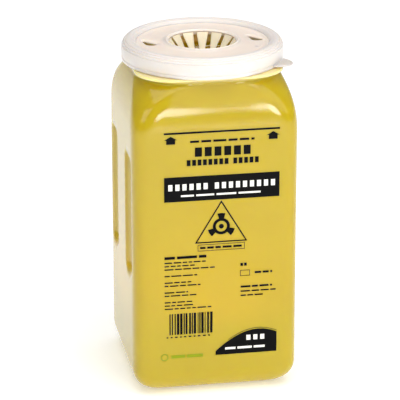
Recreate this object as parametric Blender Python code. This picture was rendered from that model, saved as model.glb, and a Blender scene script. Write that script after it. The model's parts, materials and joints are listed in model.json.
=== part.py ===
"""Sharps container: a square blow-moulded bin with a clip-on round lid and a fingered funnel.

Frame: metres, +Z up, origin at the centre of the base, the printed front face towards -Y.
The lid presses down over a round neck. Its funnel is a ring of thin fingers that flex
downwards about their roots and close again behind whatever has been dropped in.
"""

import math

import bmesh
import bpy
from mathutils import Matrix, Vector

# ---------------------------------------------------------------- driving dimensions (m)
BODY_HALF = 0.04925          # half the width across flats
BODY_CORNER = 0.011          # vertical corner radius
BASE_RADIUS = 0.0155         # rounding between the walls and the base
BASE_CORNER = 0.010          # corner radius of the foot in plan
WALL = 0.0015
BASE_RISE = 0.0030           # how far the middle of the base is pushed up
FOOT_WIDTH = 0.0070          # flat ring that the container stands on

SHOULDER_Z = 0.161           # where the walls start to curve in
SHOULDER_TOP_Z = 0.1915      # where the shoulder ends
SHOULDER_HALF = 0.0426       # outline of the shoulder's end
SHOULDER_CORNER = 0.031
SHOULDER_POWER = 2.4         # how late the shoulder turns in
LEDGE_FOOT_Z = 0.1938        # underside of the flat ledge round the neck
LEDGE_Z = 0.1951
LEDGE_HALF = 0.0440
LEDGE_CORNER = 0.023

NECK_R = 0.0432
NECK_BEAD = 0.0009           # height of the rounded bead that the lid snaps over
NECK_BEAD_Z = 0.1990
NECK_TOP_Z = 0.2034
NECK_BORE_R = 0.0406

FLUTE_LOW_Z = 0.072          # finger flutes in the two side walls
FLUTE_HIGH_Z = 0.147
FLUTE_Y = 0.0262             # distance of each flute from the middle of the wall
FLUTE_HALF_WIDTH = 0.0120
FLUTE_DEPTH = 0.0032

GAP = 0.0003                 # clearance between pieces that touch
LID_R = 0.0479
LID_BOTTOM_Z = 0.1954
LID_WALL = 0.0017
LID_CREST_R = 0.0432         # top of the rounded rim
LID_CREST_Z = 0.2076
PANEL_Z = 0.2050             # recessed panel inside the rim
PANEL_R = 0.0393
PANEL_THICKNESS = 0.0014
PLUG_R = 0.0402              # seal ring that hangs inside the neck
PLUG_Z = 0.1990

FINGER_COUNT = 14
HINGE_R = 0.0200             # fingers bend about this circle
HINGE_Z = 0.2045
FINGER_SLOPE = math.radians(53.7)
FINGER_LENGTH = 0.0164
FINGER_HALF_THICKNESS = 0.0004
ROOT_RADIUS = 0.00045        # rounded root that lies in the collar's groove
ROOT_WIDTH = 0.00700
TIP_WIDTH = 0.00155
FIRST_FINGER = math.radians(90.0 - 10.2)

COLLAR_R = 0.0219
COLLAR_TOP_Z = 0.2066
COLLAR_LIP_R = 0.0228        # flange that rests on the panel
COLLAR_BORE_R = 0.01975
COLLAR_GROOVE_R = 0.02110

KEYHOLE_X = 0.0318           # needle removers, one each side of the funnel
KEYHOLE_Y = 0.0030
KEYHOLE_TURN = math.radians(24.0)
KEYHOLE_HEAD_R = 0.0031
KEYHOLE_TAIL_R = 0.0009
KEYHOLE_LENGTH = 0.0085      # between the centres of head and tail

TAB_AZIMUTH = math.radians(-31.0)
TAB_WIDTH = 0.0170
TAB_REACH = 0.0086
TAB_THICKNESS = 0.0014
TAB_Z = 0.1966

FRONT_STEPS = 8              # mesh steps along a front or back wall
SIDE_STEPS = 18              # mesh steps along a fluted side wall
CORNER_STEPS = 4
LID_STEPS = 48

YELLOW = (0.72, 0.50, 0.045, 1.0)
NATURAL = (0.80, 0.79, 0.75, 1.0)


# ---------------------------------------------------------------- helpers
def clear_scene():
    for obj in list(bpy.data.objects):
        bpy.data.objects.remove(obj, do_unlink=True)


def plastic(name, colour, roughness):
    material = bpy.data.materials.new(name)
    material.use_nodes = True
    shader = material.node_tree.nodes["Principled BSDF"]
    shader.inputs["Base Color"].default_value = colour
    shader.inputs["Roughness"].default_value = roughness
    shader.inputs["Metallic"].default_value = 0.0
    return material


def add_object(name, bm, material, sharp_degrees=35.0):
    """Close a bmesh off as a named, smooth-shaded object."""
    bmesh.ops.recalc_face_normals(bm, faces=bm.faces)
    mesh = bpy.data.meshes.new(name)
    bm.to_mesh(mesh)
    bm.free()
    mesh.materials.append(material)
    mesh.shade_smooth()
    mesh.set_sharp_from_angle(angle=math.radians(sharp_degrees))
    obj = bpy.data.objects.new(name, mesh)
    bpy.context.scene.collection.objects.link(obj)
    return obj


def join_rings(bm, rings, closed=False):
    """Bridge rings of equal length with quads; closed also joins the last to the first."""
    pairs = list(zip(rings, rings[1:]))
    if closed:
        pairs.append((rings[-1], rings[0]))
    for lower, upper in pairs:
        count = len(lower)
        for i in range(count):
            j = (i + 1) % count
            bm.faces.new((lower[i], lower[j], upper[j], upper[i]))


def turned(name, profile, steps, material):
    """A ring turned about Z from a closed profile of (radius, height) points."""
    bm = bmesh.new()
    rings = []
    for radius, height in profile:
        ring = []
        for i in range(steps):
            angle = 2.0 * math.pi * i / steps
            ring.append(bm.verts.new((radius * math.cos(angle), radius * math.sin(angle), height)))
        rings.append(ring)
    join_rings(bm, rings, closed=True)
    return add_object(name, bm, material)


def arc(centre_r, centre_z, radius, start, end, steps):
    """Profile points on an arc, angles in degrees from +R towards +Z."""
    points = []
    for i in range(steps + 1):
        angle = math.radians(start + (end - start) * i / steps)
        points.append((centre_r + radius * math.cos(angle), centre_z + radius * math.sin(angle)))
    return points


# ---------------------------------------------------------------- container
def section_azimuths():
    """Azimuths shared by every ring of the container, close together at the corners."""
    corner_start = math.atan2(BODY_HALF - BODY_CORNER, BODY_HALF)
    corner_end = 0.5 * math.pi - corner_start
    azimuths = []
    for side in range(4):
        turn = side * 0.5 * math.pi
        steps = SIDE_STEPS if side % 2 == 0 else FRONT_STEPS
        reach = math.tan(corner_start)
        for i in range(steps):
            azimuths.append(turn + math.atan(reach * (2.0 * i / steps - 1.0)))
        for i in range(CORNER_STEPS):
            azimuths.append(turn + corner_start + (corner_end - corner_start) * i / CORNER_STEPS)
    return azimuths


def reach_at(azimuth, half, corner):
    """Distance from the axis to a rounded square in one direction."""
    x = abs(math.cos(azimuth))
    y = abs(math.sin(azimuth))
    flat = half - corner
    along = half / max(x, y)
    if min(x, y) * along <= flat:
        return along
    middle = flat * (x + y)
    return middle + math.sqrt(max(middle * middle - 2.0 * flat * flat + corner * corner, 0.0))


def flute_depth(y, z):
    """Depth of the side flutes: two upright scoops with rounded ends."""
    along = min(z - FLUTE_LOW_Z, FLUTE_HIGH_Z - z) / FLUTE_HALF_WIDTH
    if along <= 0.0:
        return 0.0
    across = (abs(y) - FLUTE_Y) / FLUTE_HALF_WIDTH
    end = max(1.0 - along, 0.0)
    inside = 1.0 - across * across - end * end
    return FLUTE_DEPTH * math.sqrt(inside) if inside > 0.0 else 0.0


def section(bm, azimuths, z, half, corner, fluted=False):
    ring = []
    for azimuth in azimuths:
        reach = reach_at(azimuth, half, corner)
        x = reach * math.cos(azimuth)
        y = reach * math.sin(azimuth)
        if fluted and abs(x) > abs(y):
            x -= math.copysign(flute_depth(y, z), x)
        ring.append(bm.verts.new((x, y, z)))
    return ring


def shoulder(fraction):
    """Half width and corner radius part of the way up the shoulder."""
    eased = fraction ** SHOULDER_POWER
    half = BODY_HALF + (SHOULDER_HALF - BODY_HALF) * eased
    corner = BODY_CORNER + (SHOULDER_CORNER - BODY_CORNER) * eased
    return half, corner


def base_round(angle):
    """Half width, corner radius and height on the rounding under the walls."""
    inset = BASE_RADIUS * (1.0 - math.cos(angle))
    height = BASE_RADIUS * (1.0 - math.sin(angle))
    share = inset / BASE_RADIUS
    return BODY_HALF - inset, BODY_CORNER + (BASE_CORNER - BODY_CORNER) * share, height


def make_container(material):
    bm = bmesh.new()
    azimuths = section_azimuths()
    flute_heights = [FLUTE_LOW_Z + (FLUTE_HIGH_Z - FLUTE_LOW_Z) * t
                     for t in (0.0, 0.035, 0.09, 0.17, 0.5, 0.83, 0.91, 0.965, 1.0)]
    base_angles = [math.radians(a) for a in (90.0, 68.0, 45.0, 22.0, 0.0)]
    shoulder_steps = (0.0, 0.25, 0.45, 0.65, 0.82, 1.0)
    foot_half = BODY_HALF - BASE_RADIUS

    outer = []
    outer.append(section(bm, azimuths, BASE_RISE, 0.014, 0.010))
    outer.append(section(bm, azimuths, BASE_RISE, foot_half - FOOT_WIDTH - 0.004, 0.008))
    outer.append(section(bm, azimuths, 0.0, foot_half - FOOT_WIDTH, 0.010))
    for angle in base_angles:
        half, corner, z = base_round(angle)
        outer.append(section(bm, azimuths, z, half, corner))
    for z in flute_heights:
        outer.append(section(bm, azimuths, z, BODY_HALF, BODY_CORNER, fluted=True))
    for fraction in shoulder_steps:
        half, corner = shoulder(fraction)
        z = SHOULDER_Z + (SHOULDER_TOP_Z - SHOULDER_Z) * fraction
        outer.append(section(bm, azimuths, z, half, corner))
    outer.append(section(bm, azimuths, LEDGE_FOOT_Z, SHOULDER_HALF, SHOULDER_CORNER - 0.004))
    outer.append(section(bm, azimuths, LEDGE_FOOT_Z + 0.0003, LEDGE_HALF, LEDGE_CORNER))
    outer.append(section(bm, azimuths, LEDGE_Z - 0.0005, LEDGE_HALF, LEDGE_CORNER))
    outer.append(section(bm, azimuths, LEDGE_Z, LEDGE_HALF - 0.0005, LEDGE_CORNER - 0.0005))
    for z, bulge in ((LEDGE_Z, 0.0), (NECK_BEAD_Z - 0.0012, 0.0), (NECK_BEAD_Z - 0.0005, 0.8),
                     (NECK_BEAD_Z, 1.0), (NECK_BEAD_Z + 0.0005, 0.8), (NECK_BEAD_Z + 0.0014, 0.0),
                     (NECK_TOP_Z - 0.0005, 0.0)):
        radius = NECK_R + NECK_BEAD * bulge
        outer.append(section(bm, azimuths, z, radius, radius))
    outer.append(section(bm, azimuths, NECK_TOP_Z, NECK_R - 0.0005, NECK_R - 0.0005))

    inner = [section(bm, azimuths, NECK_TOP_Z, NECK_BORE_R + 0.0004, NECK_BORE_R + 0.0004)]
    for z in (NECK_TOP_Z - 0.0005, SHOULDER_TOP_Z - WALL):
        inner.append(section(bm, azimuths, z, NECK_BORE_R, NECK_BORE_R))
    for fraction in reversed(shoulder_steps[:-1]):
        half, corner = shoulder(fraction)
        z = SHOULDER_Z + (SHOULDER_TOP_Z - WALL - SHOULDER_Z) * fraction
        inner.append(section(bm, azimuths, z, half - WALL, corner - 0.5 * WALL))
    for z in reversed(flute_heights):
        inner.append(section(bm, azimuths, z, BODY_HALF - WALL, BODY_CORNER - 0.5 * WALL, fluted=True))
    for angle in reversed(base_angles):
        half, corner, z = base_round(angle)
        inner.append(section(bm, azimuths, z + WALL * math.sin(angle), half - WALL * math.cos(angle), corner))
    inner.append(section(bm, azimuths, WALL, foot_half - FOOT_WIDTH + 0.0005, 0.010))
    inner.append(section(bm, azimuths, BASE_RISE + WALL, foot_half - FOOT_WIDTH - 0.004, 0.008))
    inner.append(section(bm, azimuths, BASE_RISE + WALL, 0.014, 0.010))

    join_rings(bm, outer + inner)
    bm.faces.new(outer[0])
    bm.faces.new(inner[-1])
    return add_object("container_body", bm, material)


# ---------------------------------------------------------------- lid
def lid_profile():
    rim_radius = LID_R - LID_CREST_R
    inside_r = LID_R - LID_WALL
    channel_z = NECK_TOP_Z + 0.0008
    bead_r = NECK_R + NECK_BEAD + GAP
    hole_r = COLLAR_R + GAP
    panel_under = PANEL_Z - PANEL_THICKNESS

    profile = [(hole_r, PANEL_Z), (PANEL_R, PANEL_Z), (PANEL_R + 0.0012, LID_CREST_Z - 0.0008)]
    profile += arc(LID_CREST_R, LID_CREST_Z - rim_radius, rim_radius, 96.0, 0.0, 7)
    profile += [(LID_R, LID_BOTTOM_Z + 0.0005), (LID_R - 0.0005, LID_BOTTOM_Z)]
    profile += [(inside_r, LID_BOTTOM_Z), (inside_r, LID_BOTTOM_Z + 0.0010)]
    profile += [(bead_r, LID_BOTTOM_Z + 0.0018), (bead_r, LID_BOTTOM_Z + 0.0026)]
    profile += [(inside_r, LID_BOTTOM_Z + 0.0040), (inside_r, channel_z - 0.0012)]
    profile += [(inside_r - 0.0012, channel_z), (PLUG_R, channel_z)]
    profile += [(PLUG_R, PLUG_Z + 0.0008), (PLUG_R - 0.0004, PLUG_Z), (PLUG_R - 0.0012, PLUG_Z)]
    profile += [(PLUG_R - 0.0012, panel_under), (hole_r, panel_under)]
    return profile


def keyhole_cutter(name, side):
    """A tapered keyhole: round head towards the front, narrow tail behind."""
    bm = bmesh.new()
    outline = []
    for i in range(11):
        angle = math.radians(180.0 + 180.0 * i / 10.0)
        outline.append((KEYHOLE_HEAD_R * math.cos(angle), KEYHOLE_HEAD_R * math.sin(angle)))
    for i in range(5):
        angle = math.radians(180.0 * i / 4.0)
        outline.append((KEYHOLE_TAIL_R * math.cos(angle), KEYHOLE_LENGTH + KEYHOLE_TAIL_R * math.sin(angle)))
    low = PANEL_Z - 0.004
    high = PANEL_Z + 0.004
    rings = [[bm.verts.new((x, y - 0.4 * KEYHOLE_LENGTH, z)) for x, y in outline] for z in (low, high)]
    join_rings(bm, rings)
    bm.faces.new(rings[0])
    bm.faces.new(rings[1])
    bmesh.ops.recalc_face_normals(bm, faces=bm.faces)
    mesh = bpy.data.meshes.new(name)
    bm.to_mesh(mesh)
    bm.free()
    cutter = bpy.data.objects.new(name, mesh)
    cutter.location = (side * KEYHOLE_X, KEYHOLE_Y, 0.0)
    cutter.rotation_euler = (0.0, 0.0, KEYHOLE_TURN)
    cutter.hide_render = True
    cutter.display_type = "WIRE"
    bpy.context.scene.collection.objects.link(cutter)
    return cutter


def make_lid(material):
    lid = turned("lid", lid_profile(), LID_STEPS, material)
    for side, word in ((-1.0, "left"), (1.0, "right")):
        cut = lid.modifiers.new("needle_remover_" + word, "BOOLEAN")
        cut.operation = "DIFFERENCE"
        cut.solver = "EXACT"
        cut.object = keyhole_cutter("keyhole_" + word, side)
    return lid


def make_funnel_collar(material):
    bottom = HINGE_Z - 0.0014
    flange_z = PANEL_Z + GAP
    profile = [(COLLAR_BORE_R, flange_z + 0.0001), (COLLAR_BORE_R + 0.0002, COLLAR_TOP_Z - 0.0005)]
    profile += [(COLLAR_BORE_R + 0.0006, COLLAR_TOP_Z), (COLLAR_GROOVE_R + 0.0002, COLLAR_TOP_Z)]
    profile += [(COLLAR_R + 0.0001, flange_z + 0.0008), (COLLAR_LIP_R, flange_z + 0.0005)]
    profile += [(COLLAR_LIP_R, flange_z), (COLLAR_R, flange_z), (COLLAR_R, bottom)]
    profile += [(COLLAR_GROOVE_R, bottom), (COLLAR_GROOVE_R, flange_z + 0.0001)]
    return turned("funnel_collar", profile, LID_STEPS, material)


def finger_mesh(name):
    """A tapering finger along +X from its rounded root at the origin, flat face up."""
    bm = bmesh.new()
    thin = FINGER_HALF_THICKNESS
    stations = [(-0.96, 0.28), (-0.6, 0.8), (0.0, 1.0), (0.5, 0.9)]
    rings = []
    for along, height in stations:
        rings.append((along * ROOT_RADIUS, ROOT_WIDTH, height * ROOT_RADIUS))
    taper = FINGER_LENGTH - 0.5 * TIP_WIDTH
    for share in (0.06, 0.5, 1.0):
        rings.append((share * taper, ROOT_WIDTH + (TIP_WIDTH - ROOT_WIDTH) * share, thin))
    for share in (0.55, 0.9, 1.0):
        width = TIP_WIDTH * math.sqrt(max(1.0 - share * share, 0.04))
        rings.append((taper + 0.5 * TIP_WIDTH * share, width, thin * (1.0 - 0.3 * share)))
    loops = []
    for x, width, half in rings:
        corners = ((-0.5, -1.0), (0.5, -1.0), (0.5, 1.0), (-0.5, 1.0))
        loops.append([bm.verts.new((x, width * a, half * b)) for a, b in corners])
    join_rings(bm, loops)
    bm.faces.new(loops[0])
    bm.faces.new(loops[-1])
    bmesh.ops.recalc_face_normals(bm, faces=bm.faces)
    mesh = bpy.data.meshes.new(name)
    bm.to_mesh(mesh)
    bm.free()
    return mesh


def make_fingers():
    """Fingers round the funnel, each with its origin on its own bending axis."""
    shared = finger_mesh("funnel_finger")
    for index in range(FINGER_COUNT):
        azimuth = FIRST_FINGER + 2.0 * math.pi * index / FINGER_COUNT
        name = "funnel_finger_%02d" % (index + 1)
        mesh = shared.copy()
        mesh.name = name
        mesh.materials.append(plastic(name, NATURAL, 0.35))
        mesh.shade_smooth()
        mesh.set_sharp_from_angle(angle=math.radians(35.0))
        finger = bpy.data.objects.new(name, mesh)
        hinge = Vector((HINGE_R * math.cos(azimuth), HINGE_R * math.sin(azimuth), HINGE_Z))
        turn = Matrix.Rotation(azimuth + math.pi, 4, "Z") @ Matrix.Rotation(FINGER_SLOPE, 4, "Y")
        finger.matrix_world = Matrix.Translation(hinge) @ turn
        bpy.context.scene.collection.objects.link(finger)
    bpy.data.meshes.remove(shared)


def make_lift_tab(material):
    """A flat rounded tab that stands out from the lid's skirt."""
    bm = bmesh.new()
    root_r = LID_R + GAP
    half = 0.5 * TAB_WIDTH
    loops = []
    for i in range(9):
        across = -1.0 + 2.0 * i / 8.0
        y = half * across
        inner = math.sqrt(root_r * root_r - y * y)
        outer = LID_R + TAB_REACH * math.sqrt(max(1.0 - across * across, 0.0)) - 0.25 * half * across * across
        outer = max(outer, inner + 0.5 * TAB_THICKNESS)
        column = [(inner, -0.5), (outer, -0.5), (outer, 0.5), (inner, 0.5)]
        loops.append([bm.verts.new((x, y, z * TAB_THICKNESS)) for x, z in column])
    join_rings(bm, loops)
    bm.faces.new(loops[0])
    bm.faces.new(loops[-1])
    tab = add_object("lift_tab", bm, material)
    tab.matrix_world = Matrix.Translation((0.0, 0.0, TAB_Z)) @ Matrix.Rotation(TAB_AZIMUTH, 4, "Z")
    return tab


def main():
    clear_scene()
    make_container(plastic("yellow_polyethylene", YELLOW, 0.25))
    make_lid(plastic("natural_polypropylene", NATURAL, 0.35))
    make_funnel_collar(plastic("collar_polypropylene", NATURAL, 0.35))
    make_fingers()
    make_lift_tab(plastic("tab_polypropylene", NATURAL, 0.35))


main()
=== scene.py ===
"""Sharps container: the fine surfaces, print and finishes, built round the fixed frame.

Everything is in metres in the frame's own axes: +Z up, the printed front towards -Y.
Each piece is made by one operator, and the panel in the sidebar lists them in order.
"""

import json
import math
import random

import bmesh
import bpy
from bpy.props import FloatProperty, IntProperty, PointerProperty, StringProperty
from mathutils import Euler, Matrix, Vector


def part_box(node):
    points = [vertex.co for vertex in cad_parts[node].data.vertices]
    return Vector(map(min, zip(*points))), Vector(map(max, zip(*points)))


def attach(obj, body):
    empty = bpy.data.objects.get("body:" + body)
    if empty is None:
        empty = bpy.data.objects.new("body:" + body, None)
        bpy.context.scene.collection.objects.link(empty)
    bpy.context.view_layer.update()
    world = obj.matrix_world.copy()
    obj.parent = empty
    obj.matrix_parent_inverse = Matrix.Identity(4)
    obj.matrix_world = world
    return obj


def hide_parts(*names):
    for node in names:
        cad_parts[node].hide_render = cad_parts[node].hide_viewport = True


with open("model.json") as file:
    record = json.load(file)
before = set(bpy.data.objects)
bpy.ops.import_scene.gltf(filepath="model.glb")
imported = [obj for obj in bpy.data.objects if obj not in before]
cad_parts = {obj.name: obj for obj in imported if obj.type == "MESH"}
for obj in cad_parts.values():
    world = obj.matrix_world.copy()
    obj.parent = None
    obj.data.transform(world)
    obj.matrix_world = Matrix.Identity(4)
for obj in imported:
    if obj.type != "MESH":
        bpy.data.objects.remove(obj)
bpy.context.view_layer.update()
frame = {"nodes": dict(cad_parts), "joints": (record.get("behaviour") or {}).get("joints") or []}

bl_info = {
    "name": "Sharps container",
    "version": (1, 0, 0),
    "blender": (4, 5, 0),
    "location": "View3D > Sidebar > Sharps container",
    "description": "Builds the container, its fingered lid and its printed front",
    "category": "Object",
}

MM = 0.001
BODY_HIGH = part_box("container_body")[1]
LID_LOW, LID_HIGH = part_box("lid")
COLLAR_LOW, COLLAR_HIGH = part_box("funnel_collar")
TAB_LOW, TAB_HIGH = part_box("lift_tab")

HALF = BODY_HIGH.x                      # half the container's width across flats
NECK_TOP = BODY_HIGH.z
LID_R = LID_HIGH.x                      # outside radius of the lid's skirt
LID_FOOT = LID_LOW.z
RIM_TOP = LID_HIGH.z
COLLAR_PROUD = 1.6 * MM                 # how far the funnel's collar stands above the panel
PANEL = COLLAR_HIGH.z - COLLAR_PROUD    # top of the lid's recessed panel
FINGERS = sorted(name for name in frame["nodes"] if name.startswith("funnel_finger"))


# ---------------------------------------------------------------- sizes and colours
def length(name, text, default_mm, low=0.0, high=400.0):
    return FloatProperty(name=name, description=text, default=default_mm * MM, min=low * MM,
                         max=high * MM, subtype="DISTANCE", unit="LENGTH", precision=5)


def turn(name, text, default_degrees):
    return FloatProperty(name=name, description=text, default=math.radians(default_degrees),
                         subtype="ANGLE", unit="ROTATION")


def tint(name, text, default):
    return StringProperty(name=name, description=text + ", as an sRGB hex value", default=default)


class ContainerSizes(bpy.types.PropertyGroup):
    corner: length("Corner", "Size of the soft vertical corners", 13.0)
    base_round: length("Base rounding", "Rounding between the walls and the base", 15.5)
    foot_corner: length("Foot corner", "Corner radius of the foot in plan", 10.0)
    wall: length("Wall", "Thickness of the blown wall", 1.5)
    shoulder_z: length("Shoulder height", "Where the walls start to curve in", 161.0)
    shoulder_top: length("Shoulder top", "Where the shoulder ends under the ledge", 191.5)
    shoulder_half: length("Shoulder half width", "Half the width at the shoulder's top", 42.6)
    shoulder_corner: length("Shoulder corner", "Corner radius at the shoulder's top", 31.0)
    ledge_foot: length("Ledge underside", "Underside of the ledge round the neck", 193.7)
    ledge_z: length("Ledge height", "Top of the ledge that the lid sits above", 195.1)
    ledge_half: length("Ledge half width", "Half the width of the ledge", 44.0)
    ledge_corner: length("Ledge corner", "Corner radius of the ledge", 23.0)
    neck_r: length("Neck radius", "Outside radius of the neck", 43.2)
    bore_r: length("Bore radius", "Inside radius of the neck", 40.6)
    bead_z: length("Bead height", "Height of the bead that holds the lid", 199.0)
    base_rise: length("Base rise", "How far the base is pushed up inside its foot", 3.0)
    flute_low: length("Flute foot", "Lower end of the finger flutes", 72.0)
    flute_high: length("Flute head", "Upper end of the finger flutes", 147.0)
    flute_y: length("Flute spacing", "Distance of each flute from the middle of its wall", 26.2)
    flute_half: length("Flute half width", "Half the width of one flute", 12.2)
    flute_depth: length("Flute depth", "Depth of the flutes", 3.3)


class LidSizes(bpy.types.PropertyGroup):
    crest_r: length("Crest radius", "Radius of the top of the rounded rim", 43.2)
    panel_r: length("Panel radius", "Radius of the recessed panel", 39.3)
    panel_wall: length("Panel thickness", "Thickness of the panel", 1.4)
    skirt_wall: length("Skirt thickness", "Thickness of the skirt", 1.7)
    keyhole_x: length("Needle remover X", "Distance of each needle remover from the axis", 31.8)
    keyhole_y: length("Needle remover Y", "How far back each needle remover sits", 3.0)
    keyhole_head: length("Needle remover head", "Radius of the wide end of a needle remover", 3.1)
    keyhole_tail: length("Needle remover tail", "Radius of the narrow end of a needle remover", 0.9)
    keyhole_length: length("Needle remover length", "Distance between its two ends' centres", 8.5)
    keyhole_turn: turn("Needle remover turn", "How far each needle remover is turned", 24.0)
    seal_r: length("Seal radius", "Outside radius of the ring that seals inside the neck", 40.2)
    seal_foot: length("Seal foot", "Height of the seal ring's lower edge", 199.0)


class FunnelSizes(bpy.types.PropertyGroup):
    bore: length("Bore radius", "Inside radius of the collar", 19.75)
    groove: length("Groove radius", "Where the collar steps down into the panel's hole", 21.1)
    root_width: length("Root width", "Width of a finger at its root", 7.0)
    tip_width: length("Tip width", "Width of a finger at its tip", 1.55)
    reach: length("Finger length", "From a finger's hinge to its tip", 16.4)
    root_half: length("Root half thickness", "Half the thickness of a finger's root", 0.45)
    slope: turn("Slope", "How steeply the fingers hang", 53.7)


class TabSizes(bpy.types.PropertyGroup):
    azimuth: turn("Azimuth", "Where the tab stands round the lid, from +X", -31.0)
    half_width: length("Half width", "Half the width of the tab", 8.5)
    reach: length("Reach", "How far the tab stands out from the skirt", 8.6)


class PrintSizes(bpy.types.PropertyGroup):
    left: length("Left edge", "Left edge of the printed area", -31.4, low=-60.0)
    right: length("Right edge", "Right edge of the printed area", 37.0)
    fill_line_z: length("Fill line", "Height of the fill line", 164.8)
    ink: length("Ink proud", "How far the ink stands off the wall", 0.05)
    seed: IntProperty(name="Seed", description="Seed for the lengths of the dummy words", default=11)


class Colours(bpy.types.PropertyGroup):
    polyethylene: tint("Polyethylene", "Yellow of the container", "BCA60C")
    # painted highlight: the ledge is the same yellow polyethylene; this pale cream stands in for the light
    # that its edge catches
    painted_ledge_highlight: tint("Lip", "Paler yellow of the thin ledge", "EFDCA0")
    polypropylene: tint("Polypropylene", "Milky white of the lid's rim and skirt", "E9E1DB")
    # painted light: the panel and the collar are the same natural polypropylene as the rim; this lighter,
    # warmer tone of their own is set for the light that falls on the lid's top
    panel: tint("Panel", "The lid's thin panel, darker over the hollow container", "F6E6DA")
    # painted light: the fingers are the same natural polypropylene as the lid; this paler, warm tone stands
    # in for yellow light from inside the container and lifts the shade they hang in
    finger: tint("Finger", "Warm milky white of the thin fingers", "FAE9CE")
    black_ink: tint("Black ink", "Ink of the print", "050505")
    white_ink: tint("White ink", "Ink of the print inside the panels", "FAF8F0")
    green_ink: tint("Green ink", "Ink of the small mark at the foot", "8F9C16")
    floor: tint("Floor", "Pale studio floor", "FCFCFB")


class StageSizes(bpy.types.PropertyGroup):
    lens: FloatProperty(name="Lens", description="Focal length on a 36 mm sensor", default=223.4,
                        min=20.0, max=400.0, subtype="DISTANCE_CAMERA")
    distance: length("Camera distance", "From the camera to its aim point", 1500.0, high=5000.0)
    aim_z: length("Aim height", "Height of the aim point on the axis", 105.2)
    pitch: turn("Pitch", "How far the camera looks down", 19.795)
    yaw: turn("Yaw", "How far the camera stands round to the left", 10.202)
    shift: FloatProperty(name="Shift", description="Sideways lens shift", default=-0.0057,
                         min=-1.0, max=1.0)


GROUPS = {
    "sc_container": ContainerSizes,
    "sc_lid": LidSizes,
    "sc_funnel": FunnelSizes,
    "sc_tab": TabSizes,
    "sc_print": PrintSizes,
    "sc_colours": Colours,
    "sc_stage": StageSizes,
}


# ---------------------------------------------------------------- materials
def linear(hex_value):
    """An sRGB hex value as linear red, green, blue and full alpha."""
    channels = [int(hex_value[i:i + 2], 16) / 255.0 for i in (0, 2, 4)]
    straight = [c / 12.92 if c <= 0.04045 else ((c + 0.055) / 1.055) ** 2.4 for c in channels]
    return (*straight, 1.0)


def add_node(tree, kind, settings=None, inputs=None, links=None):
    """Add a node, set its properties and sockets, and link other nodes' outputs to it."""
    node = tree.nodes.new(kind)
    for name, value in (settings or {}).items():
        setattr(node, name, value)
    for name, value in (inputs or {}).items():
        node.inputs[name].default_value = value
    for name, (source, output) in (links or {}).items():
        tree.links.new(source.outputs[output], node.inputs[name])
    return node


def new_material(name):
    """A material with its node tree and its Principled shader."""
    material = bpy.data.materials.new(name)
    material.use_nodes = True
    tree = material.node_tree
    shader = tree.nodes["Principled BSDF"]
    return material, tree, shader


def blow_moulded_polyethylene():
    """High-density polyethylene blown against a polished mould.

    It gives a glossy, slightly wavy skin with faint cloudy bands where the wall is thinner.
    From the shoulder's top upward the yellow is blended to a pale cream: a painted highlight for the light
    the ledge catches.
    """
    material, tree, shader = new_material("blow-moulded polyethylene")
    sizes = bpy.context.scene.sc_container
    colours = bpy.context.scene.sc_colours
    place = add_node(tree, "ShaderNodeTexCoord")
    position = add_node(tree, "ShaderNodeSeparateXYZ", links={"Vector": (place, "Object")})
    # painted highlight: the mask runs from the shoulder's top to the ledge's underside, and above it the
    # yellow turns to the pale cream
    painted_ledge_highlight = add_node(tree, "ShaderNodeMapRange",
                   inputs={"From Min": sizes.shoulder_top + 0.6 * MM,
                           "From Max": sizes.ledge_foot + 0.2 * MM},
                   links={"Value": (position, "Z")})
    base = add_node(tree, "ShaderNodeMixRGB",
                    inputs={"Color1": linear(colours.polyethylene), "Color2": linear(colours.painted_ledge_highlight)},
                    links={"Fac": (painted_ledge_highlight, "Result")})
    cloud_mm = 45.0
    cloud = add_node(tree, "ShaderNodeTexNoise", inputs={"Scale": 1.0 / (cloud_mm * MM), "Detail": 2.0},
                     links={"Vector": (place, "Object")})
    tone = add_node(tree, "ShaderNodeMapRange", inputs={"To Min": 0.94, "To Max": 1.05},
                    links={"Value": (cloud, "Fac")})
    colour = add_node(tree, "ShaderNodeHueSaturation",
                      links={"Color": (base, "Color"), "Value": (tone, "Result")})
    tree.links.new(colour.outputs["Color"], shader.inputs["Base Color"])

    grain_mm = 0.9
    grain = add_node(tree, "ShaderNodeTexNoise", inputs={"Scale": 1.0 / (grain_mm * MM), "Detail": 3.0},
                     links={"Vector": (place, "Object")})
    gloss = add_node(tree, "ShaderNodeMapRange", inputs={"To Min": 0.08, "To Max": 0.13},
                     links={"Value": (grain, "Fac")})
    tree.links.new(gloss.outputs["Result"], shader.inputs["Roughness"])

    wave_mm = 16.0
    wave = add_node(tree, "ShaderNodeTexNoise", inputs={"Scale": 1.0 / (wave_mm * MM), "Detail": 1.0},
                    links={"Vector": (place, "Object")})
    bump = add_node(tree, "ShaderNodeBump", inputs={"Strength": 0.10, "Distance": 0.35 * MM},
                    links={"Height": (wave, "Fac")})
    tree.links.new(bump.outputs["Normal"], shader.inputs["Normal"])
    shader.inputs["IOR"].default_value = 1.54
    shader.inputs["Subsurface Weight"].default_value = 0.9
    shader.inputs["Subsurface Radius"].default_value = (1.0, 0.75, 0.2)
    shader.inputs["Subsurface Scale"].default_value = 5.0 * MM
    return material


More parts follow.
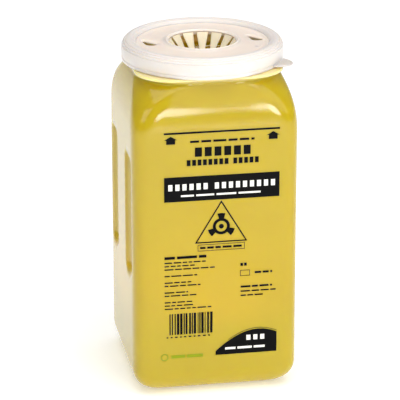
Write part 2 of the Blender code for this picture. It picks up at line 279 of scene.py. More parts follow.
def natural_polypropylene(name, tone_hex, spread_mm, clear=0.0):
    """Unpigmented polypropylene, injection moulded.

    It is milky: light goes in and spreads, so edges glow and thin walls let colour through.
    """
    material, tree, shader = new_material(name)
    place = add_node(tree, "ShaderNodeTexCoord")
    flow_mm = 12.0
    flow = add_node(tree, "ShaderNodeTexNoise", inputs={"Scale": 1.0 / (flow_mm * MM), "Detail": 3.0},
                    links={"Vector": (place, "Object")})
    tone = add_node(tree, "ShaderNodeMapRange", inputs={"To Min": 0.95, "To Max": 1.03},
                    links={"Value": (flow, "Fac")})
    colour = add_node(tree, "ShaderNodeHueSaturation", inputs={"Color": linear(tone_hex)},
                      links={"Value": (tone, "Result")})
    tree.links.new(colour.outputs["Color"], shader.inputs["Base Color"])
    gloss = add_node(tree, "ShaderNodeMapRange", inputs={"To Min": 0.24, "To Max": 0.36},
                     links={"Value": (flow, "Fac")})
    tree.links.new(gloss.outputs["Result"], shader.inputs["Roughness"])
    ripple_mm = 7.0
    ripple = add_node(tree, "ShaderNodeTexNoise", inputs={"Scale": 1.0 / (ripple_mm * MM), "Detail": 1.0},
                      links={"Vector": (place, "Object")})
    bump = add_node(tree, "ShaderNodeBump", inputs={"Strength": 0.08, "Distance": 0.3 * MM},
                    links={"Height": (ripple, "Fac")})
    tree.links.new(bump.outputs["Normal"], shader.inputs["Normal"])
    shader.inputs["IOR"].default_value = 1.49
    shader.inputs["Subsurface Weight"].default_value = 0.8
    shader.inputs["Subsurface Radius"].default_value = (1.0, 0.85, 0.65)
    shader.inputs["Subsurface Scale"].default_value = spread_mm * MM
    shader.inputs["Transmission Weight"].default_value = clear
    return material


def screen_ink(name, hex_value):
    """Ink screened on to the wall.

    It is thin, dense and duller than the plastic, so it reads as flat colour with little shine.
    """
    material, tree, shader = new_material(name)
    place = add_node(tree, "ShaderNodeTexCoord")
    speck_mm = 0.5
    speck = add_node(tree, "ShaderNodeTexNoise", inputs={"Scale": 1.0 / (speck_mm * MM), "Detail": 2.0},
                     links={"Vector": (place, "Object")})
    gloss = add_node(tree, "ShaderNodeMapRange", inputs={"To Min": 0.32, "To Max": 0.48},
                     links={"Value": (speck, "Fac")})
    tree.links.new(gloss.outputs["Result"], shader.inputs["Roughness"])
    shader.inputs["Base Color"].default_value = linear(hex_value)
    shader.inputs["IOR"].default_value = 1.5
    shader.inputs["Specular IOR Level"].default_value = 0.08
    return material


def opal_acrylic(hex_value):
    """Opal acrylic sheet lit from behind.

    It glows faintly, which keeps the floor pale and the shadow on it soft.
    """
    material, _, shader = new_material("back-lit opal acrylic floor")
    shader.inputs["Base Color"].default_value = linear(hex_value)
    shader.inputs["Roughness"].default_value = 0.8
    shader.inputs["Emission Color"].default_value = (1.0, 1.0, 1.0, 1.0)
    shader.inputs["Emission Strength"].default_value = 0.30
    return material


# ---------------------------------------------------------------- mesh helpers
def add_piece(name, bm, material, body, sharp=None, subdivide=0, replaces=()):
    """Turn a bmesh into a finished piece that rides on a body of the frame."""
    bmesh.ops.recalc_face_normals(bm, faces=bm.faces)
    mesh = bpy.data.meshes.new(name)
    bm.to_mesh(mesh)
    bm.free()
    mesh.materials.append(material)
    mesh.shade_smooth()
    if sharp is not None:
        mesh.set_sharp_from_angle(angle=math.radians(sharp))
    piece = bpy.data.objects.new(name, mesh)
    bpy.context.scene.collection.objects.link(piece)
    if subdivide:
        finer = piece.modifiers.new("finer", "SUBSURF")
        finer.levels = subdivide
        finer.render_levels = subdivide
    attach(piece, body)
    if replaces:
        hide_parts(*replaces)
    return piece


def join_rings(bm, rings, closed=False):
    """Join rings of equal length with faces, and the last to the first if closed."""
    pairs = list(zip(rings, rings[1:]))
    if closed:
        pairs.append((rings[-1], rings[0]))
    for low, high in pairs:
        count = len(low)
        for i in range(count):
            j = (i + 1) % count
            bm.faces.new((low[i], low[j], high[j], high[i]))


def turned_rings(bm, profile, steps):
    """Turn a profile of (radius, height) points round the axis."""
    rings = []
    for radius, height in profile:
        ring = []
        for i in range(steps):
            angle = 2.0 * math.pi * i / steps
            ring.append(bm.verts.new((radius * math.cos(angle), radius * math.sin(angle), height)))
        rings.append(ring)
    return rings


def arc(centre_r, centre_z, radius, start, end, steps):
    """Profile points along an arc, from one angle in degrees to another."""
    points = []
    for i in range(steps + 1):
        angle = math.radians(start + (end - start) * i / steps)
        points.append((centre_r + radius * math.cos(angle), centre_z + radius * math.sin(angle)))
    return points


def soften(profile, radius, steps=3):
    """Round every corner of a closed profile by cutting it back and fitting a curve."""
    result = []
    count = len(profile)
    for i, point in enumerate(profile):
        here = Vector(point)
        before = Vector(profile[i - 1])
        after = Vector(profile[(i + 1) % count])
        back = before - here
        on = after - here
        cut = min(radius, 0.42 * back.length, 0.42 * on.length)
        if back.length < 1e-7 or on.length < 1e-7 or abs(back.normalized().dot(on.normalized())) > 0.97:
            result.append(tuple(here))
            continue
        start = here + back.normalized() * cut
        end = here + on.normalized() * cut
        for k in range(steps + 1):
            t = k / steps
            result.append(tuple((1 - t) ** 2 * start + 2 * t * (1 - t) * here + t * t * end))
    return result


def smooth_step(x):
    """Ease from 0 to 1 with a level start and a level end."""
    x = min(max(x, 0.0), 1.0)
    return x * x * (3.0 - 2.0 * x)


# ---------------------------------------------------------------- container
SIDE_POINTS = 72
CORNER_POINTS = 14
SQUARENESS = 3.0                        # above 2 the corners ease into the flats
ROUND = 2.05                            # nearly a true arc
SHOULDER_POWER = 2.4                    # how late the shoulder turns in


def soft_square(half, corner, power):
    """Points round a square with eased corners, the same number on every ring."""
    flat = half - corner
    points = []
    for side in range(4):
        c, s = round(math.cos(side * math.pi / 2)), round(math.sin(side * math.pi / 2))
        run = [(half, flat * (2.0 * i / SIDE_POINTS - 1.0)) for i in range(SIDE_POINTS)]
        for i in range(CORNER_POINTS):
            angle = 0.5 * math.pi * i / CORNER_POINTS
            x = flat + corner * math.cos(angle) ** (2.0 / power)
            y = flat + corner * math.sin(angle) ** (2.0 / power)
            run.append((x, y))
        points += [(c * x - s * y, s * x + c * y) for x, y in run]
    return points


def flute_depth(y, z, sizes):
    """Two scooped flutes side by side, with blunt ends and a narrow soft edge."""
    half = sizes.flute_half
    along = min(z - sizes.flute_low, sizes.flute_high - z) / half
    across = abs(abs(y) - sizes.flute_y) / half
    end = max(1.0 - along / 0.6, 0.0)
    reach = (across ** 3 + end ** 3) ** (1.0 / 3.0)
    if reach >= 1.0:
        return 0.0
    return sizes.flute_depth * (1.0 - across * across) * smooth_step((1.0 - reach) / 0.22)


class SC_OT_container(bpy.types.Operator):
    """Blow-moulded square container with a soft shoulder, a ledge and a round neck"""

    bl_idname = "sc.container"
    bl_label = "Container"

    def ring(self, half, corner, z, power=SQUARENESS, fluted=False):
        """A soft square at one height, pressed in at the sides if it is fluted."""
        ring = []
        for x, y in soft_square(half, corner, power):
            if fluted and abs(x) > abs(y):
                x -= math.copysign(flute_depth(y, z, self.sizes), x)
            ring.append(self.bm.verts.new((x, y, z)))
        return ring

    def round_ring(self, like, radius, z):
        """A circle whose points lie at the same azimuths as another ring's."""
        ring = []
        for vert in like:
            direction = Vector((vert.co.x, vert.co.y)).normalized()
            ring.append(self.bm.verts.new((radius * direction.x, radius * direction.y, z)))
        return ring

    def shoulder(self, t):
        """Half width, corner radius, height and power of the shoulder, from its foot to its top."""
        s = self.sizes
        eased = t ** SHOULDER_POWER
        half = HALF + (s.shoulder_half - HALF) * eased
        corner = s.corner + (s.shoulder_corner - s.corner) * eased
        z = s.shoulder_z + (s.shoulder_top - s.shoulder_z) * t
        return half, corner, z, SQUARENESS + (ROUND - SQUARENESS) * t

    def base(self, degrees):
        """Half width, corner radius and height of the rounded foot, at an angle of its curve."""
        s = self.sizes
        angle = math.radians(degrees)
        inset = s.base_round * (1.0 - math.cos(angle))
        share = inset / s.base_round
        corner = s.corner + (s.foot_corner - s.corner) * share
        return HALF - inset, corner, s.base_round * (1.0 - math.sin(angle))

    def skin(self, inward):
        """Rings of the blown wall from the foot to the ledge, moved inward by a thickness."""
        s = self.sizes
        rings = []
        for degrees in (90, 84, 76, 66, 56, 45, 34, 23, 12, 5, 0):
            half, corner, z = self.base(degrees)
            lift = inward * math.sin(math.radians(degrees))
            side = inward * math.cos(math.radians(degrees))
            rings.append(self.ring(half - side, corner - 0.5 * side, z + lift))
        low, high = s.flute_low, s.flute_high
        heights = [0.5 * (s.base_round + low), low - 4.0 * MM]
        heights += [low + 1.4 * MM * i for i in range(11)]
        heights += [low + 15.0 * MM + (high - low - 30.0 * MM) * i / 12 for i in range(13)]
        heights += [high - 14.0 * MM + 1.4 * MM * i for i in range(11)]
        heights += [high + 4.0 * MM, 0.5 * (high + s.shoulder_z)]
        for z in heights:
            rings.append(self.ring(HALF - inward, s.corner - 0.5 * inward, z, fluted=True))
        for i in range(25):
            t = i / 24
            half, corner, z, power = self.shoulder(t)
            rings.append(self.ring(half - inward, corner - 0.5 * inward, z - inward * t, power))
        return rings

    def base_plate(self, lift):
        """Rings of the pushed-up base, from its middle out to the flat foot."""
        s = self.sizes
        foot = HALF - s.base_round
        rings = [self.ring(6.0 * MM, 4.0 * MM, s.base_rise + lift)]
        for inset, corner, share in ((12.0, 8.0, 1.0), (10.5, 9.0, 0.85), (8.2, 9.5, 0.15),
                                     (7.0, 10.0, 0.0)):
            rings.append(self.ring(foot - inset * MM, corner * MM, share * s.base_rise + lift))
        return rings

    def ledge(self):
        """Rings from the shoulder's top out under the thin ledge, round its edge and on to its top."""
        s = self.sizes
        rings = []
        for share, height in ((0.0, -1.2), (0.08, -0.6), (0.3, -0.15), (0.7, -0.02)):
            half = s.shoulder_half + (s.ledge_half - s.shoulder_half) * share
            corner = s.shoulder_corner + (s.ledge_corner - s.shoulder_corner) * (0.4 + 0.6 * share)
            rings.append(self.ring(half, corner, s.ledge_foot + height * MM, ROUND))
        for inset, drop in ((0.12, 1.36), (0.02, 1.1), (0.0, 0.7), (0.03, 0.36), (0.14, 0.12),
                            (0.38, 0.0), (1.0, 0.0)):
            half, corner = s.ledge_half - inset * MM, s.ledge_corner - inset * MM
            rings.append(self.ring(half, corner, s.ledge_z - drop * MM, ROUND))
        return rings

    def neck_profile(self):
        """Distance out from the neck's radius in millimetres, and height, from the ledge to the top."""
        low, bead = self.sizes.ledge_z, self.sizes.bead_z
        profile = [(0.35, low), (0.1, low + 0.2 * MM), (0.0, low + 0.6 * MM)]
        for out, rise in ((0.0, -1.5), (0.3, -1.0), (0.75, -0.5), (0.9, 0.0), (0.75, 0.5),
                          (0.3, 1.0), (0.0, 1.6)):
            profile.append((out, bead + rise * MM))
        profile += [(0.0, NECK_TOP - 0.7 * MM), (-0.15, NECK_TOP - 0.3 * MM), (-0.5, NECK_TOP)]
        return profile

    def execute(self, context):
        s = self.sizes = context.scene.sc_container
        bm = self.bm = bmesh.new()
        outer = self.base_plate(0.0) + self.skin(0.0) + self.ledge()
        for out, height in self.neck_profile():
            outer.append(self.round_ring(outer[-1], s.neck_r + out * MM, height))
        for out, height in ((0.5, NECK_TOP), (0.1, NECK_TOP - 0.3 * MM), (0.0, NECK_TOP - 0.8 * MM),
                            (0.0, s.shoulder_top + 0.3 * MM), (0.1, s.shoulder_top - 0.9 * MM)):
            outer.append(self.round_ring(outer[-1], s.bore_r + out * MM, height))
        inner = list(reversed(self.base_plate(s.wall) + self.skin(s.wall)[:-1]))
        join_rings(bm, outer + inner)
        bm.faces.new(outer[0])
        bm.faces.new(inner[-1])
        add_piece("container_shell", bm, blow_moulded_polyethylene(), "container",
                  replaces=("container_body",))
        return {"FINISHED"}


# ---------------------------------------------------------------- lid
LID_STEPS = 240                         # points round the rim and the panel
COLLAR_STEPS = 160                      # points round the funnel's collar
EDGE_CUT = 0.3 * MM                     # how far the lid's corners are cut back to round them
COLLAR_CUT = 0.4 * MM


class SC_OT_lid(bpy.types.Operator):
    """Round milky lid with a rounded rim, a recessed panel and two needle removers"""

    bl_idname = "sc.lid"
    bl_label = "Lid"

    def panel_profile(self):
        """The thin recessed panel, swept up a little where it meets the funnel's collar."""
        s = self.sizes
        hole = COLLAR_HIGH.x - 0.7 * MM
        under = PANEL - s.panel_wall
        edge = s.panel_r + 0.5 * MM
        points = [(hole, PANEL + 0.9 * MM), (hole + 0.6 * MM, PANEL + 0.75 * MM)]
        points += [(hole + 1.6 * MM, PANEL + 0.3 * MM), (hole + 3.0 * MM, PANEL)]
        points += [(s.panel_r - 3.4 * MM, PANEL), (s.panel_r - 2.9 * MM, PANEL - 0.22 * MM)]
        points += [(s.panel_r - 1.6 * MM, PANEL - 0.22 * MM), (s.panel_r - 1.1 * MM, PANEL)]
        points += [(edge, PANEL), (edge, under), (hole + 1.4 * MM, under), (hole, PANEL - 0.2 * MM)]
        return points

    def rim_profile(self):
        """The rounded rim with its fine steps, the skirt and the seal ring."""
        s = self.sizes
        inside = LID_R - s.skirt_wall
        channel = NECK_TOP + 0.8 * MM
        rim = LID_R - s.crest_r
        seat = s.panel_r
        points = [(seat, PANEL - 0.3 * MM), (seat + 0.1 * MM, PANEL + 0.5 * MM)]
        points += [(seat + 1.0 * MM, RIM_TOP - 1.0 * MM), (seat + 1.6 * MM, RIM_TOP - 0.5 * MM)]
        points += [(seat + 2.4 * MM, RIM_TOP - 0.45 * MM)]
        points += arc(s.crest_r, RIM_TOP - rim, rim, 94.0, 76.0, 3)
        for degrees in (66.0, 46.0, 26.0):
            points += arc(s.crest_r, RIM_TOP - rim, rim, degrees, degrees - 3.0, 1)
            points += arc(s.crest_r, RIM_TOP - rim, rim - 0.35 * MM, degrees - 6.0, degrees - 9.0, 1)
            points += arc(s.crest_r, RIM_TOP - rim, rim, degrees - 12.0, degrees - 14.0, 1)
        points += [(LID_R, RIM_TOP - rim - 0.6 * MM), (LID_R, LID_FOOT + 2.7 * MM)]
        points += [(LID_R - 0.35 * MM, LID_FOOT + 2.3 * MM), (LID_R - 0.35 * MM, LID_FOOT + 1.7 * MM)]
        points += [(LID_R, LID_FOOT + 1.3 * MM), (LID_R, LID_FOOT), (inside, LID_FOOT)]
        points += [(inside, LID_FOOT + 1.0 * MM), (inside - 1.7 * MM, LID_FOOT + 1.9 * MM)]
        points += [(inside - 1.7 * MM, LID_FOOT + 2.5 * MM), (inside, LID_FOOT + 4.0 * MM)]
        points += [(inside, channel - 1.2 * MM), (inside - 1.2 * MM, channel), (s.seal_r, channel)]
        points += [(s.seal_r, s.seal_foot + 0.8 * MM), (s.seal_r - 0.4 * MM, s.seal_foot)]
        points += [(seat, s.seal_foot)]
        return points

    def keyhole(self, name, side):
        """A cutter with a wide sloping mouth above and the keyhole itself below."""
        s = self.sizes
        bm = bmesh.new()
        rings = []
        for grow, z in ((0.0, -4.0), (0.0, -0.9), (1.5, 0.25), (1.7, 2.0)):
            ring = []
            for i in range(25):
                angle = math.pi + math.pi * i / 24
                radius = s.keyhole_head + grow * MM
                ring.append((radius * math.cos(angle), radius * math.sin(angle)))
            for i in range(13):
                angle = math.pi * i / 12
                radius = s.keyhole_tail + grow * MM
                ring.append((radius * math.cos(angle), s.keyhole_length + radius * math.sin(angle)))
            rings.append([bm.verts.new((x, y - 0.4 * s.keyhole_length, PANEL + z * MM)) for x, y in ring])
        join_rings(bm, rings)
        bm.faces.new(rings[0])
        bm.faces.new(rings[-1])
        bmesh.ops.recalc_face_normals(bm, faces=bm.faces)
        mesh = bpy.data.meshes.new(name)
        bm.to_mesh(mesh)
        bm.free()
        cutter = bpy.data.objects.new(name, mesh)
        cutter.location = (side * s.keyhole_x, s.keyhole_y, 0.0)
        cutter.rotation_euler = (0.0, 0.0, s.keyhole_turn)
        bpy.context.scene.collection.objects.link(cutter)
        return cutter

    def execute(self, context):
        self.sizes = context.scene.sc_lid
        bm = bmesh.new()
        join_rings(bm, turned_rings(bm, soften(self.rim_profile(), EDGE_CUT), LID_STEPS), closed=True)
        colours = context.scene.sc_colours
        material = natural_polypropylene("injection-moulded natural polypropylene",
                                         colours.polypropylene, 3.0)
        add_piece("lid_rim", bm, material, "lid", sharp=50.0)
        bm = bmesh.new()
        join_rings(bm, turned_rings(bm, soften(self.panel_profile(), EDGE_CUT), LID_STEPS), closed=True)
        # painted light: the panel's own tone is set for the light on the lid's top, not a different plastic
        material = natural_polypropylene("thin natural polypropylene panel", colours.panel, 1.6)
        panel = add_piece("lid_panel", bm, material, "lid", sharp=50.0, replaces=("lid",))
        for side, word in ((-1.0, "left"), (1.0, "right")):
            cutter = self.keyhole("keyhole_" + word, side)
            cut = panel.modifiers.new("needle_remover_" + word, "BOOLEAN")
            cut.solver = "EXACT"
            cut.object = cutter
            context.view_layer.update()
            depsgraph = context.evaluated_depsgraph_get()
            shaped = bpy.data.meshes.new_from_object(panel.evaluated_get(depsgraph))
            panel.modifiers.clear()
            panel.data = shaped
            bpy.data.objects.remove(cutter, do_unlink=True)
        panel.data.set_sharp_from_angle(angle=math.radians(40.0))
        return {"FINISHED"}


class SC_OT_funnel(bpy.types.Operator):
    """Raised collar and the ring of flexing fingers that hangs from it"""

    bl_idname = "sc.funnel"
    bl_label = "Funnel"

    def collar(self):
        """The raised ring round the fingers, with a sloping flange that laps the panel."""
        top = COLLAR_HIGH.z
        foot = COLLAR_LOW.z
        wide = COLLAR_HIGH.x
        flange = PANEL + 0.3 * MM
        bore, groove = self.sizes.bore, self.sizes.groove
        outer = wide - 0.9 * MM
        profile = [(bore, flange + 0.1 * MM), (bore + 1.3 * MM, top - 0.1 * MM), (bore + 1.8 * MM, top)]
        profile += [(outer + 0.2 * MM, flange + 0.62 * MM), (wide, flange + 0.1 * MM)]
        profile += [(outer, flange - 0.3 * MM), (outer, foot), (groove, foot), (groove, flange + 0.1 * MM)]
        bm = bmesh.new()
        join_rings(bm, turned_rings(bm, soften(profile, COLLAR_CUT), COLLAR_STEPS), closed=True)
        add_piece("finger_collar", bm, self.material, "lid", sharp=50.0,
                  replaces=("funnel_collar",))

    def finger(self, index, joint):
        """A tapering finger from its rounded root, thinner towards a round tip."""
        hinge = Vector(joint["pos_m"])
        azimuth = math.atan2(hinge.y, hinge.x)
        root_width, tip_width, root = self.sizes.root_width, self.sizes.tip_width, self.sizes.root_half
        taper = self.sizes.reach - 0.5 * tip_width
        stations = [(-root, 0.25), (-0.8 * root, 0.6), (-0.4 * root, 0.92), (0.0, 1.0), (0.7 * root, 0.93)]
        rings = [(x, root_width, share * root) for x, share in stations]
        for i in range(9):
            share = (i + 0.6) / 8.6
            width = root_width + (tip_width - root_width) * share
            rings.append((share * taper, width, (0.41 - 0.06 * share) * MM))
        for angle in (25.0, 50.0, 70.0, 85.0):
            round_tip = math.radians(angle)
            width = tip_width * math.cos(round_tip)
            x = taper + 0.5 * tip_width * math.sin(round_tip)
            rings.append((x, width, (0.33 - 0.002 * angle) * MM))
        bm = bmesh.new()
        loops = []
        for x, width, half in rings:
            edge = min(0.3 * MM, 0.4 * width)
            section = [(-0.5 * width, -0.4 * half), (-0.5 * width + edge, -half), (0.0, -half)]
            section += [(-y, z) for y, z in section[1::-1]]
            section += [(y, -z) for y, z in section[::-1]]
            loops.append([bm.verts.new((x, y, z)) for y, z in section])
        join_rings(bm, loops)
        bm.faces.new(loops[0])
        bm.faces.new(loops[-1])
        hang = Matrix.Rotation(azimuth + math.pi, 4, "Z") @ Matrix.Rotation(self.sizes.slope, 4, "Y")
        bmesh.ops.transform(bm, matrix=Matrix.Translation(hinge) @ hang, verts=bm.verts)
        add_piece("finger_%02d_blade" % (index + 1), bm, self.thin, joint["child"],
                  sharp=60.0, subdivide=1, replaces=(FINGERS[index],))

    def execute(self, context):
        self.sizes = context.scene.sc_funnel
        colours = context.scene.sc_colours
        # painted light: the collar takes the panel's tone, set for the light on the lid's top
        self.material = natural_polypropylene("injection-moulded natural polypropylene collar",
                                              colours.panel, 1.6)
        # painted light: the fingers' warm, pale tone stands in for yellow light from inside and lifts their
        # shade in the funnel
        self.thin = natural_polypropylene("thin flexing polypropylene", colours.finger, 1.2)
        self.collar()
        joints = {joint["name"]: joint for joint in frame["joints"]}
        for index in range(len(FINGERS)):
            self.finger(index, joints["finger_%02d_flex" % (index + 1)])
        return {"FINISHED"}


class SC_OT_tab(bpy.types.Operator):
    """Small rounded lift tab with a rolled edge, low on the lid's skirt"""

    bl_idname = "sc.tab"
    bl_label = "Lift tab"

    def execute(self, context):
        s = context.scene.sc_tab
        middle = 0.5 * (TAB_LOW.z + TAB_HIGH.z)
        thick = 0.5 * (TAB_HIGH.z - TAB_LOW.z)
        edge = ((0.0, 0.55), (0.25, 0.5), (0.6, 0.5), (0.82, 0.7), (0.9, 1.0), (0.97, 0.9), (1.0, 0.5))
        bm = bmesh.new()
        loops = []
        for i in range(25):
            across = -math.cos(math.pi * i / 24)
            y = s.half_width * across
            inner = math.sqrt((LID_R + 0.1 * MM) ** 2 - y * y)
            lobe = s.reach * math.sqrt(max(1.0 - across * across, 0.0))
            outer = max(LID_R + lobe - 0.25 * s.half_width * across * across, inner + 0.6 * MM)
            column = [(inner + (outer - inner) * share, height * thick) for share, height in edge]
            section = column + [(x, -0.6 * z) for x, z in reversed(column)]
            loops.append([bm.verts.new((x, y, middle + z)) for x, z in section])
        join_rings(bm, loops)
        bm.faces.new(loops[0])
        bm.faces.new(loops[-1])
        bmesh.ops.transform(bm, matrix=Matrix.Rotation(s.azimuth, 4, "Z"), verts=bm.verts)
        colours = context.scene.sc_colours
        material = natural_polypropylene("thin natural polypropylene tab", colours.polypropylene, 2.0,
                                         clear=0.25)
        add_piece("tab_blade", bm, material, "lid", sharp=60.0, subdivide=1,
                  replaces=("lift_tab",))
        return {"FINISHED"}


# ---------------------------------------------------------------- print
class Ink:
    """Flat shapes in millimetres on the front wall, gathered into one printed piece."""

    def __init__(self, name, material, proud):
        self.name = name
        self.material = material
        self.front = -HALF - proud
        self.back = -HALF + 0.15 * MM
        self.bm = bmesh.new()

    def shape(self, outline):
        """Extrude one closed outline of (x, z) points; concave outlines are fine."""
        front = [self.bm.verts.new((x * MM, self.front, z * MM)) for x, z in outline]
        back = [self.bm.verts.new((x * MM, self.back, z * MM)) for x, z in outline]
        join_rings(self.bm, [front, back])
        self.bm.faces.new(front)
        self.bm.faces.new(back)

    def box(self, x0, z0, x1, z1):
        self.shape([(x0, z0), (x1, z0), (x1, z1), (x0, z1)])

    def outline(self, points, width):
        """A closed stroke of even width along a polygon."""
        inner = offset_polygon(points, -0.5 * width)
        outer = offset_polygon(points, 0.5 * width)
        count = len(points)
        for i in range(count):
            j = (i + 1) % count
            self.shape([inner[i], outer[i], outer[j], inner[j]])

    def ring(self, x, z, inner, outer, start=0.0, end=360.0, steps=40):
        for i in range(steps):
            a = math.radians(start + (end - start) * i / steps)
            b = math.radians(start + (end - start) * (i + 1) / steps)
            self.shape([(x + inner * math.cos(a), z + inner * math.sin(a)),
                        (x + outer * math.cos(a), z + outer * math.sin(a)),
                        (x + outer * math.cos(b), z + outer * math.sin(b)),
                        (x + inner * math.cos(b), z + inner * math.sin(b))])

    def words(self, x0, x1, z, height, rng, word=(4.0, 9.0), gap=1.1):
        """A line of dummy words: plain bars with spaces between them, and no letters."""
        x = x0
        while x < x1 - 0.3 * word[0]:
            end = min(x + rng.uniform(*word), x1)
            self.box(x, z, end, z + height)
            x = end + gap

    def blocks(self, x0, x1, z, height, count, gap_share=0.25, spaces=()):
        """Bold dummy lettering: plain upright blocks in place of letters."""
        total = count + 0.6 * len(spaces)
        pitch = (x1 - x0) / total
        x = x0
        for i in range(count):
            if i in spaces:
                x += 0.6 * pitch
            self.box(x + 0.5 * gap_share * pitch, z, x + (1.0 - 0.5 * gap_share) * pitch, z + height)
            x += pitch

    def finish(self):
        add_piece(self.name, self.bm, self.material, "container", sharp=30.0)


def offset_polygon(points, distance):
    """Move a convex polygon's sides outward by a distance, corners mitred."""
    centre = Vector((sum(p[0] for p in points), sum(p[1] for p in points))) / len(points)
    moved = []
    count = len(points)
    for i in range(count):
        before, here, after = (Vector(points[(i + k) % count]) for k in (-1, 0, 1))
        normals = []
        for a, b in ((before, here), (here, after)):
            along = (b - a).normalized()
            normal = Vector((along.y, -along.x))
            if normal.dot(0.5 * (a + b) - centre) < 0.0:
                normal = -normal
            normals.append(normal)
        mitre = (normals[0] + normals[1]).normalized()
        moved.append(tuple(here + mitre * distance / mitre.dot(normals[0])))
    return moved


class SC_OT_print(bpy.types.Operator):
    """Screen print on the front: fill line, panels, triangle and dummy words, no lettering"""

    bl_idname = "sc.print"
    bl_label = "Printed front"

    # Every number in the layout is in millimetres: x from the middle of the wall, z above the ground.

    def heading(self):
        """The fill line, an arrow up to each end of it, and the heading below."""
        black, left, right, line = self.black, self.left, self.right, self.line
        black.box(left, line - 0.55, right, line + 0.55)
        for x in (left + 4.0, right - 4.0):
            top = line - 1.7
            black.shape([(x - 3.9, top - 2.3), (x - 2.6, top - 2.3), (x - 2.6, top - 4.8),
                         (x + 2.6, top - 4.8), (x + 2.6, top - 2.3), (x + 3.9, top - 2.3), (x, top)])
        black.words(-16.0, 22.0, line - 6.2, 1.3, self.rng, word=(3.0, 8.0), gap=1.3)
        black.blocks(-14.0, 20.5, 150.0, 5.6, 6, gap_share=0.28)
        black.blocks(-18.5, 25.0, 144.6, 3.6, 13, gap_share=0.30, spaces=(8,))

    def warning_panel(self):
        """A black panel with a bold line and a finer line in white."""
        self.black.box(self.left, 122.9, self.right, 138.1)
        self.white.blocks(self.left + 1.6, self.right - 1.8, 129.8, 3.8, 15, gap_share=0.42, spaces=(6,))
        self.white.words(-21.5, 27.0, 125.8, 1.1, self.rng, word=(6.0, 15.0), gap=1.4)

    def triangle(self):
        """A triangle with a plain three-armed wheel in it, and a framed line under it."""
        black, x, z = self.black, 2.5, 106.2
        black.outline([(-12.6, 96.6), (17.4, 96.6), (2.5, 121.6)], 0.75)
        black.ring(x, z, 3.3, 5.1)
        black.ring(x, z, 0.0, 1.5)
        for spoke in (90.0, 210.0, 330.0):
            black.ring(x, z, 5.1, 8.2, spoke - 17.0, spoke + 17.0, steps=6)
        black.outline([(-11.4, 91.4), (16.4, 91.4), (16.4, 95.2), (-11.4, 95.2)], 0.3)
        black.words(-10.2, 15.2, 92.6, 1.3, self.rng, word=(3.0, 6.0), gap=1.0)

    def small_print(self):
        """A short bold line, then fine rows of uneven length with gaps between the groups."""
        black, left = self.black, self.left
        black.words(left, left + 25.0, 87.2, 1.7, self.rng, word=(6.0, 12.0), gap=1.2)
        for row, reach in enumerate((25.5, 18.0, 30.0, None, 19.5, None, 16.0, 21.5, None, 14.0, 19.0, None,
                                     16.5, 17.0, 28.0)):
            if reach is not None:
                black.words(left, left + reach, 84.6 - 2.08 * row, 0.75, self.rng, word=(2.0, 6.0), gap=0.9)

    def bars(self):
        """Uneven upright bars over a fine row."""
        x = -28.6
        while x < -2.4:
            width = self.rng.choice((0.45, 0.7, 1.1, 1.4))
            self.black.box(x, 39.2, x + width, 52.6)
            x += width + self.rng.choice((0.5, 0.7, 1.0))
        self.black.words(-30.4, -2.6, 37.2, 0.8, self.rng, word=(1.0, 2.0), gap=1.4)

    def right_column(self):
        """A small framed box with short rows beside and below it."""
        black, rng = self.black, self.rng
        black.outline([(14.0, 74.2), (19.6, 74.2), (19.6, 77.6), (14.0, 77.6)], 0.3)
        black.words(14.0, 17.8, 80.4, 1.9, rng, word=(1.6, 1.6), gap=0.6)
        black.words(22.6, 33.2, 75.2, 1.3, rng, word=(3.0, 6.0), gap=0.9)
        for row, (reach, height) in enumerate(((19.0, 1.2), (21.5, 0.85), (15.0, 0.85))):
            black.words(14.2, 14.2 + reach, 66.6 - 2.7 * row, height, rng, word=(3.0, 7.0), gap=0.9)

    def swoosh(self):
        """A black panel with a curved top, a thin line along the curve, and white words in it."""
        dome = []
        for i in range(25):
            t = i / 24
            dome.append((-0.8 + 37.0 * t, 24.6 + 15.0 * math.sin(math.pi * (0.04 + 0.66 * t)) ** 0.9))
        self.black.shape([(-0.8, 24.4), (36.2, 24.4)] + dome[::-1])
        for (x0, z0), (x1, z1) in zip(dome[5:], dome[6:]):
            self.black.shape([(x0, z0 + 0.65), (x1, z1 + 0.65), (x1, z1 + 0.95), (x0, z0 + 0.95)])
        self.white.blocks(17.0, 29.6, 32.8, 3.2, 3, gap_share=0.42)
        self.white.words(5.0, 29.0, 27.5, 1.4, self.rng, word=(5.0, 10.0), gap=1.2)

    def execute(self, context):
        s = context.scene.sc_print
        colours = context.scene.sc_colours
        self.rng = random.Random(s.seed)
        self.left, self.right, self.line = s.left / MM, s.right / MM, s.fill_line_z / MM
        self.black = Ink("print_black", screen_ink("black screen ink", colours.black_ink), s.ink)
        self.white = Ink("print_white", screen_ink("white screen ink", colours.white_ink), 2.0 * s.ink)
        green = Ink("print_green", screen_ink("green screen ink", colours.green_ink), s.ink)
        self.heading()
        self.warning_panel()
        self.triangle()
        self.small_print()
        self.bars()
        self.right_column()
        self.swoosh()
        green.ring(-31.6, 25.0, 1.7, 2.3)
        green.words(-27.5, -6.0, 24.0, 2.0, self.rng, word=(7.0, 10.0), gap=1.0)
        for ink in (self.black, self.white, green):
            ink.finish()
        return {"FINISHED"}


# ---------------------------------------------------------------- stage
FLOOR_HALF = 6.0                        # half the floor's width in metres
FLOOR_DROP = 0.2 * MM                   # keeps the floor just clear of the foot
SENSOR_MM = 36.0
WORLD_LIGHT = 0.3

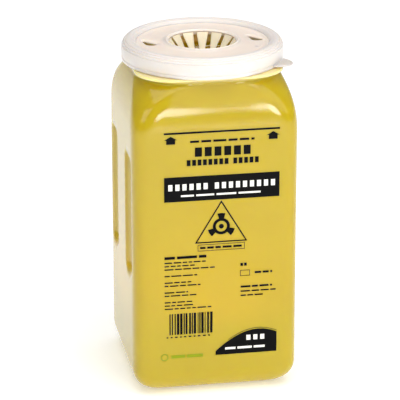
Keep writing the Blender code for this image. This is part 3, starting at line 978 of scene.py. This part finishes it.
# Name, shape, size, place, point aimed at, all in metres, and power in watts.
SOFTBOXES = (
    # broad light from above, then the main light from the front right
    ("top_softbox", "RECTANGLE", (3.0, 3.0), (0.0, 0.0, 2.5), (0.0, 0.0, 0.0), 42.0),
    ("key_softbox", "RECTANGLE", (2.4, 2.4), (0.94, -1.34, 1.57), (0.0, 0.0, 0.1), 20.0),
    # two small lights whose reflections make the shoulder's highlight
    ("left_strip", "ELLIPSE", (0.23, 0.26), (0.075, -1.18, 0.30), (0.0, 0.0, 0.18), 1.5),
    ("right_strip", "ELLIPSE", (0.29, 0.29), (0.39, -1.18, 0.32), (0.0, 0.0, 0.18), 2.6),
    # lifts the left wall and its flutes
    ("left_fill", "RECTANGLE", (0.7, 0.7), (-1.04, -0.82, 0.85), (0.0, 0.0, 0.15), 2.6),
)
# Inside the container, in place of the light that its thin walls would let through.
CAVITY_GLOW = ("cavity_glow", "ELLIPSE", (0.07, 0.07), (0.0, 0.0, 0.04), (0.0, 0.0, 0.2), 0.05)


class SC_OT_stage(bpy.types.Operator):
    """Pale floor, soft studio light and the camera"""

    bl_idname = "sc.stage"
    bl_label = "Stage"

    def softbox(self, name, shape, size, place, aim, power):
        """An area light at a place, turned to face a point."""
        light = bpy.data.lights.new(name, "AREA")
        light.shape = shape
        light.size, light.size_y = size
        light.energy = power
        lamp = bpy.data.objects.new(name, light)
        lamp.location = place
        lamp.rotation_euler = (Vector(aim) - Vector(place)).to_track_quat("-Z", "Y").to_euler()
        bpy.context.scene.collection.objects.link(lamp)
        return lamp

    def execute(self, context):
        scene = context.scene
        s = scene.sc_stage
        bm = bmesh.new()
        bmesh.ops.create_grid(bm, x_segments=2, y_segments=2, size=FLOOR_HALF)
        mesh = bpy.data.meshes.new("studio_floor")
        bm.to_mesh(mesh)
        bm.free()
        floor = bpy.data.objects.new("studio_floor", mesh)
        floor.location = (0.0, 0.0, -FLOOR_DROP)
        scene.collection.objects.link(floor)
        mesh.materials.append(opal_acrylic(scene.sc_colours.floor))

        world = bpy.data.worlds.new("studio")
        world.use_nodes = True
        background = world.node_tree.nodes["Background"]
        background.inputs["Color"].default_value = (1.0, 1.0, 1.0, 1.0)
        background.inputs["Strength"].default_value = WORLD_LIGHT
        scene.world = world
        scene.view_settings.view_transform = "Standard"     # the default one greys this yellow
        for softbox in SOFTBOXES:
            self.softbox(*softbox)
        glow = self.softbox(*CAVITY_GLOW)
        glow.visible_camera = False

        camera = bpy.data.objects.new("camera", bpy.data.cameras.new("camera"))
        camera.data.lens = s.lens
        camera.data.sensor_width = SENSOR_MM
        camera.data.shift_x = s.shift
        camera.data.clip_end = 50.0
        level = math.cos(s.pitch)
        back = Vector((-math.sin(s.yaw) * level, -math.cos(s.yaw) * level, math.sin(s.pitch)))
        camera.location = Vector((0.0, 0.0, s.aim_z)) + back * s.distance
        camera.rotation_euler = Euler((0.5 * math.pi - s.pitch, 0.0, -s.yaw), "XYZ")
        scene.collection.objects.link(camera)
        scene.camera = camera
        return {"FINISHED"}


STEPS = (SC_OT_stage, SC_OT_container, SC_OT_lid, SC_OT_funnel, SC_OT_tab, SC_OT_print)


class SC_PT_panel(bpy.types.Panel):
    """One button for each step, and every size and colour below"""

    bl_idname = "SC_PT_panel"
    bl_label = "Sharps container"
    bl_space_type = "VIEW_3D"
    bl_region_type = "UI"
    bl_category = "Sharps container"

    def draw(self, context):
        for step in STEPS:
            self.layout.operator(step.bl_idname)
        for name, group in GROUPS.items():
            box = self.layout.box()
            for prop in group.__annotations__:
                box.prop(getattr(context.scene, name), prop)


def register():
    for cls in (*GROUPS.values(), *STEPS, SC_PT_panel):
        bpy.utils.register_class(cls)
    for name, group in GROUPS.items():
        setattr(bpy.types.Scene, name, PointerProperty(type=group))


def unregister():
    for name in GROUPS:
        delattr(bpy.types.Scene, name)
    for cls in reversed((*GROUPS.values(), *STEPS, SC_PT_panel)):
        bpy.utils.unregister_class(cls)


def main():
    register()
    for step in STEPS:
        family, action = step.bl_idname.split(".")
        getattr(getattr(bpy.ops, family), action)()


if __name__ == "__main__":
    main()
